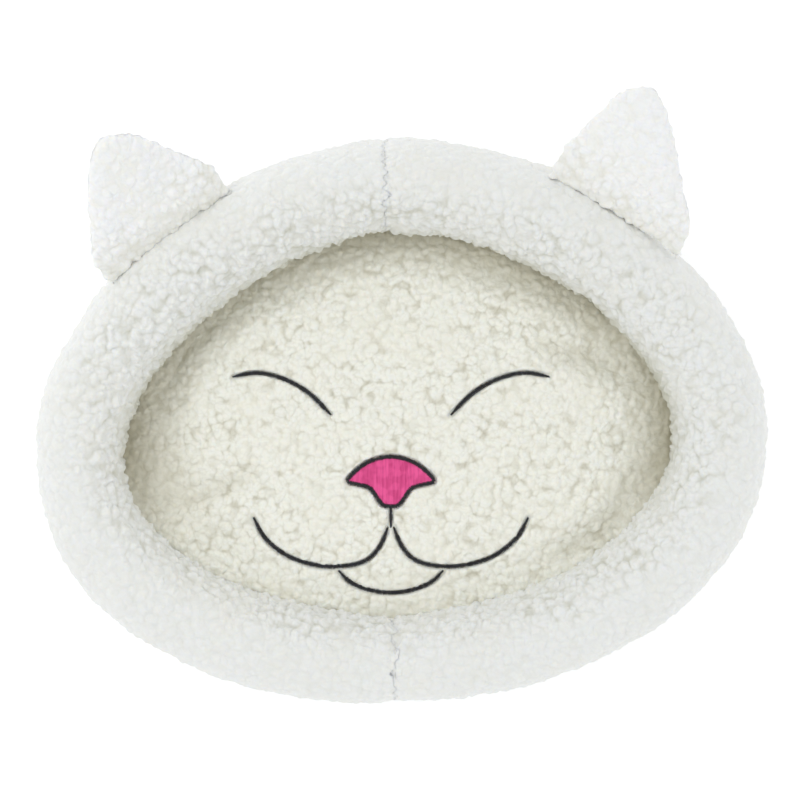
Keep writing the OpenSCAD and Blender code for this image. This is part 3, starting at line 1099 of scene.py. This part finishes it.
def buildBase():
    pad = copyOfNodes("basePad", "base_pad")
    voxelRemesh(pad, base["padVoxel"])
    relax(pad, 2)
    subdivide(pad, 1)
    points = coordinates(pad)
    roof = heightsUnder(points)
    points[:, 2] = np.minimum(points[:, 2], np.maximum(roof, points[:, 2].min()))
    setCoordinates(pad, points)
    applyTree(pad, looseWadding, {"Material": wadding})
    standIn(pad, "base_pad")

    outline = spaced(outlineOf("embroidery_backing"), base["step"], closed=True)

    def underPanel(flat):
        return heightsUnder(flat) + base["backingRoom"]

    backing = sheetOf("embroideryBacking", outline, base["rings"], underPanel, 0.3*mm)
    backing.data.materials.append(backingCloth)
    areaOf(outline)
    standIn(backing, "embroidery_backing")

    outline = spaced(outlineOf("underside_panel"), base["step"], closed=True)
    low, high = (np.array(c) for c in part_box("underside_panel"))

    def onFloor(flat):
        lifted = np.column_stack([flat, np.zeros(len(flat))])
        return high[2] - base["wrinkle"]*(0.5 + 0.5*softNoise(lifted, 40*mm, 9.0))

    underside = sheetOf("undersidePanel", outline, base["rings"], onFloor, 0.6*mm)
    points = coordinates(underside)
    points[:, 2] = np.maximum(points[:, 2], 0.0)
    setCoordinates(underside, points)
    underside.data.materials.append(undersideCloth)
    areaOf(outline)
    standIn(underside, "underside_panel")

    outline = spaced(outlineOf("base_binding"), base["step"]/2, closed=True)
    outline -= unit(outline - outline.mean(axis=0))*base["tapeWidth"]/2
    path = np.column_stack([outline, np.full(len(outline), high[2]/2)])
    tape = pathPiece("tape", [path], closed=True)
    applyTree(tape, alongPath, {"Radius": base["tapeWidth"]/2, "Sides": 14, "Material": undersideCloth,
                                "Flatness": base["tapeThickness"]/base["tapeWidth"]})
    path[:, 2] = base["tapeRowHeight"]
    along = unit(np.roll(path, -1, axis=0) - np.roll(path, 1, axis=0))
    stitches = sewn("tapeStitches", path, along, base["tapeRow"], closed=True)
    standIn(joined("baseBinding", tape, stitches), "base_binding")

    outline = spaced(outlineOf("panel_seam"), base["step"]/2, closed=True)
    outline += (outline - nestMiddle[:2])*panel["tuck"]
    rollOut(outline, 1.0)
    low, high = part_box("panel_seam")
    path = np.column_stack([outline, np.full(len(outline), low[2] + base["seamRowLift"])])
    overlock = sewn("panelSeam", path, sideways(path, closed=True), base["seamRow"], closed=True)
    standIn(overlock, "panel_seam")
    print("base made")


buildBase()


# ears: each has its own axes, along the root, to the tip and out of its front
ear = {
    "voxel": 3.8*mm,
    "swell": 2.5*mm,
    "pileRoom": 1.0*mm,
    "finer": 2,
    "pile": {"Curl Size": 7.0*mm, "Curl Height": 3.2*mm, "Lean": 1.6*mm},
    "waist": 0.10,            # how much narrower its middle is, as a share
    "waistHeight": 52.0*mm,
    "waistSpread": 34.0*mm,
    "shorter": 0.045,
    "rootReach": 22.0*mm,     # height over which its foot is shaped
    "rootDrop": 19.0*mm,
    "rootNarrower": 0.10,
    "rootThinner": 0.35,
    "brushed": (14*mm, 48*mm),  # height over which its curls turn to brushed pile
    "brushedEdge": 12*mm,
    "brushedShare": 0.85,
    "dimHeight": (2*mm, 22*mm),  # its front has shade painted in below these heights, at its root
    "dim": 0.35,
    "bendStart": -4.0*mm,
    "bendEnd": 16.0*mm,
    "fillingVoxel": 3.0*mm,
    "seamInset": 0.93,        # of the ear's own outline, so that its stitches stay in the pile
    "seamMiddle": 30.0*mm,    # height round which the points of its edge are put in order
    "seamRow": {"Spacing": 3.0*mm, "Length": 3.4*mm, "Thickness": 0.6*mm, "Tilt": 0.4},
    "rollRadius": 1.5*mm,
    "wrapLift": 1.3*mm,
    "wraps": {"Spacing": 3.0*mm, "Length": 3.0*mm, "Thickness": 0.6*mm, "Tilt": 0.35},
}


class EarAxes:
    # turns points to an ear's own directions and back
    def __init__(self, side):
        self.side = side
        joint = next(j for j in frame["joints"] if j["name"] == "ear_" + side + "_fold")
        self.hinge = np.array(joint["pos_m"], float)
        along = np.array(joint["axis"], float)
        along = along/np.linalg.norm(along)
        # the seam round its edge is flat, and the ear's front is the side that faces up
        seam = np.array([v.co for v in frame["nodes"]["ear_seam_" + side].data.vertices])
        out = np.linalg.svd(seam - seam.mean(axis=0), full_matrices=False)[2][2]
        out = out*np.sign(out[2])
        toTip = np.cross(out, along)
        toTip = toTip/np.linalg.norm(toTip)*np.sign(toTip @ (seam.mean(axis=0) - self.hinge))
        self.axes = np.array([np.cross(toTip, out), toTip, out])

    def local(self, points):
        return (points - self.hinge) @ self.axes.T

    def world(self, local):
        return self.hinge + local @ self.axes


def standInEar(piece, part, axes):
    # the piece takes the place of an ear's part
    standIn(piece, part + axes.side, None)
    start, end = (tuple(axes.world(np.array([0.0, ear[key], 0.0]))) for key in ("bendStart", "bendEnd"))
    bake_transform(piece)


def fitEar(local):
    # draws an ear's sides and tip in, and carries its foot down into the rim
    tip = local[local[:, 1] > 0.9*local[:, 1].max()].mean(axis=0)
    middle = local[:, 1]*tip[0]/tip[1]
    waist = ear["waist"]*bell(local[:, 1] - ear["waistHeight"], ear["waistSpread"])
    local[:, 0] = middle + (local[:, 0] - middle)*(1.0 - waist)
    local[:, 1] -= np.maximum(local[:, 1], 0.0)*ear["shorter"]
    near = 1.0 - smoothStep(local[:, 1], 0.0, ear["rootReach"])
    local[:, 1] -= near*ear["rootDrop"]
    local[:, 0] *= 1.0 - near*ear["rootNarrower"]
    local[:, 2] *= 1.0 - near*ear["rootThinner"]
    return local


def buildEar(side, seed):
    axes = EarAxes(side)
    nodes = [part + side for part in ("ear_front_", "ear_back_", "ear_filling_")]
    shape = stuff(copyOfNodes("ear", *nodes), ear["voxel"], ear["swell"], -ear["pileRoom"], pressure=3.0)
    relax(shape, 2)
    subdivide(shape, ear["finer"])
    local = axes.local(coordinates(shape))
    normals = vertexNormals(shape) @ axes.axes.T
    wavy = local[:, 1] + softNoise(local, 30*mm, seed)*ear["brushedEdge"]
    cloud = smoothStep(wavy, *ear["brushed"])*ear["brushedShare"]
    # painted shade on the front of its root, where it meets the rim
    crease = (1.0 - smoothStep(local[:, 1], *ear["dimHeight"]))*smoothStep(normals[:, 2], 0.0, 0.6)
    setCoordinates(shape, axes.world(fitEar(local)))
    raisePile(shape, np.ones(len(local)), cloud, crease*ear["dim"], earFleece, seed, ear["pile"])
    filling = copyOfNodes("earFilling" + side.capitalize(), "ear_filling_" + side)
    voxelRemesh(filling, ear["fillingVoxel"])
    relax(filling, 2)
    setCoordinates(filling, axes.world(fitEar(axes.local(coordinates(filling)))))
    hollowOut(shape, push(copyOf(filling, "lining"), 0.4*mm))
    for part, way in (("front", 1.0), ("back", -1.0)):
        out = Vector(axes.axes[2])*way
        piece = splitByPlane(shape, "ear" + part.capitalize() + side.capitalize(),
                             Vector(axes.hinge) + out*0.2*mm, out)
        standInEar(piece, "ear_" + part + "_", axes)
    drop(shape)
    applyTree(filling, looseWadding, {"Lump Size": 12*mm, "Depth": 1.0*mm, "Material": wadding})
    standInEar(filling, "ear_filling_", axes)
    buildEarSeams(side, axes, seed)
    print("ear", side, len(local))


def buildEarSeams(side, axes, seed):
    # the closing stitches round an ear's edge, and the rolled seam that it turns on
    edge = copyOfNodes("edge", "ear_seam_" + side)
    local = axes.local(coordinates(edge))
    drop(edge)
    flat = [Vector(p[:2]) for p in local]
    hull = np.array([local[i] for i in geometry.convex_hull_2d(flat)])
    hull = hull[np.argsort(-np.arctan2(hull[:, 0], hull[:, 1] - ear["seamMiddle"]))]
    edge = spaced(hull, 2.5*mm)
    edge[:, 2] = 0.0
    edge[:, :2] *= ear["seamInset"]
    path = axes.world(fitEar(edge))
    values = {**ear["seamRow"], "Seed": int(seed*10)}
    stitches = sewn("earSeam" + side.capitalize(), path, axes.axes[2], values)
    standInEar(stitches, "ear_seam_", axes)
    low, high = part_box("ear_root_" + side)
    half = (Vector(high) - Vector(low)).xy.length/2
    turns = np.linspace(-half, half, 60)
    sag = np.column_stack([turns, np.sin(turns/half*9)*0.3*mm, np.zeros(len(turns))])
    roll = pathPiece("roll", [axes.world(sag)])
    applyTree(roll, alongPath, {"Radius": ear["rollRadius"], "Sides": 14, "Material": backingCloth})
    path = axes.world(sag + [0.0, 0.0, ear["wrapLift"]])
    wraps = sewn("wraps", path, axes.axes[1], {**ear["wraps"], "Seed": int(seed*10) + 1})
    standInEar(joined("earRoot" + side.capitalize(), roll, wraps), "ear_root_", axes)


buildEar("right", 0.81)
buildEar("left", 1.93)


# light, floor and camera
view = {
    "height": 1.5,            # above the floor
    "plane": 0.048,           # height at which the picture's width is measured
    "width": 0.608,
    "middleY": 0.0152,
    "key": ((-1.15, 0.5, 1.4), 0.7, 4.5),
    "fill": ((1.3, -0.9, 1.5), 1.6, 3.0),
    "daylight": 0.86,
}


def buildStage():
    floor = sheetOf("floor", np.array([(-6.0, -6.0), (6.0, -6.0), (6.0, 6.0), (-6.0, 6.0)]), 1,
                    lambda flat: np.full(len(flat), -0.0005), 0.01)
    material, maker = newMaterial("paleFloor")
    grain = maker.noise(maker.objectPlace(), 3.0)
    colour = maker.mixColour(grain, (0.93, 0.93, 0.93, 1), (0.95, 0.95, 0.95, 1))
    shader = maker.node("ShaderNodeBsdfPrincipled", None,
                        {"Base Color": colour, "Roughness": 0.9, "Specular IOR Level": 0.1,
                         "Emission Color": (1, 1, 1, 1), "Emission Strength": 0.22})
    leave = maker.tree.nodes.new("ShaderNodeOutputMaterial")
    maker.tree.links.new(shader.socket, leave.inputs["Surface"])
    floor.data.materials.append(material)
    world = bpy.data.worlds.new("studio")
    bpy.context.scene.world = world
    world.use_nodes = True
    world.node_tree.nodes["Background"].inputs["Color"].default_value = (0.97, 0.985, 1.0, 1)
    world.node_tree.nodes["Background"].inputs["Strength"].default_value = view["daylight"]
    for name in ("key", "fill"):
        place, size, power = view[name]
        lamp = bpy.data.lights.new(name, "AREA")
        lamp.size = size
        lamp.energy = power
        holder = newPiece(name, lamp)
        holder.location = place
        aim = Vector((0.0, 0.0, 0.05)) - Vector(place)
        holder.rotation_euler = aim.to_track_quat("-Z", "Y").to_euler()
    camera = bpy.data.cameras.new("camera")
    camera.sensor_width = 36.0
    camera.lens = camera.sensor_width*(view["height"] - view["plane"])/view["width"]
    holder = newPiece("camera", camera)
    holder.location = (0.0, view["middleY"], view["height"])
    bpy.context.scene.camera = holder
    bpy.context.scene.view_settings.view_transform = "Standard"


buildStage()
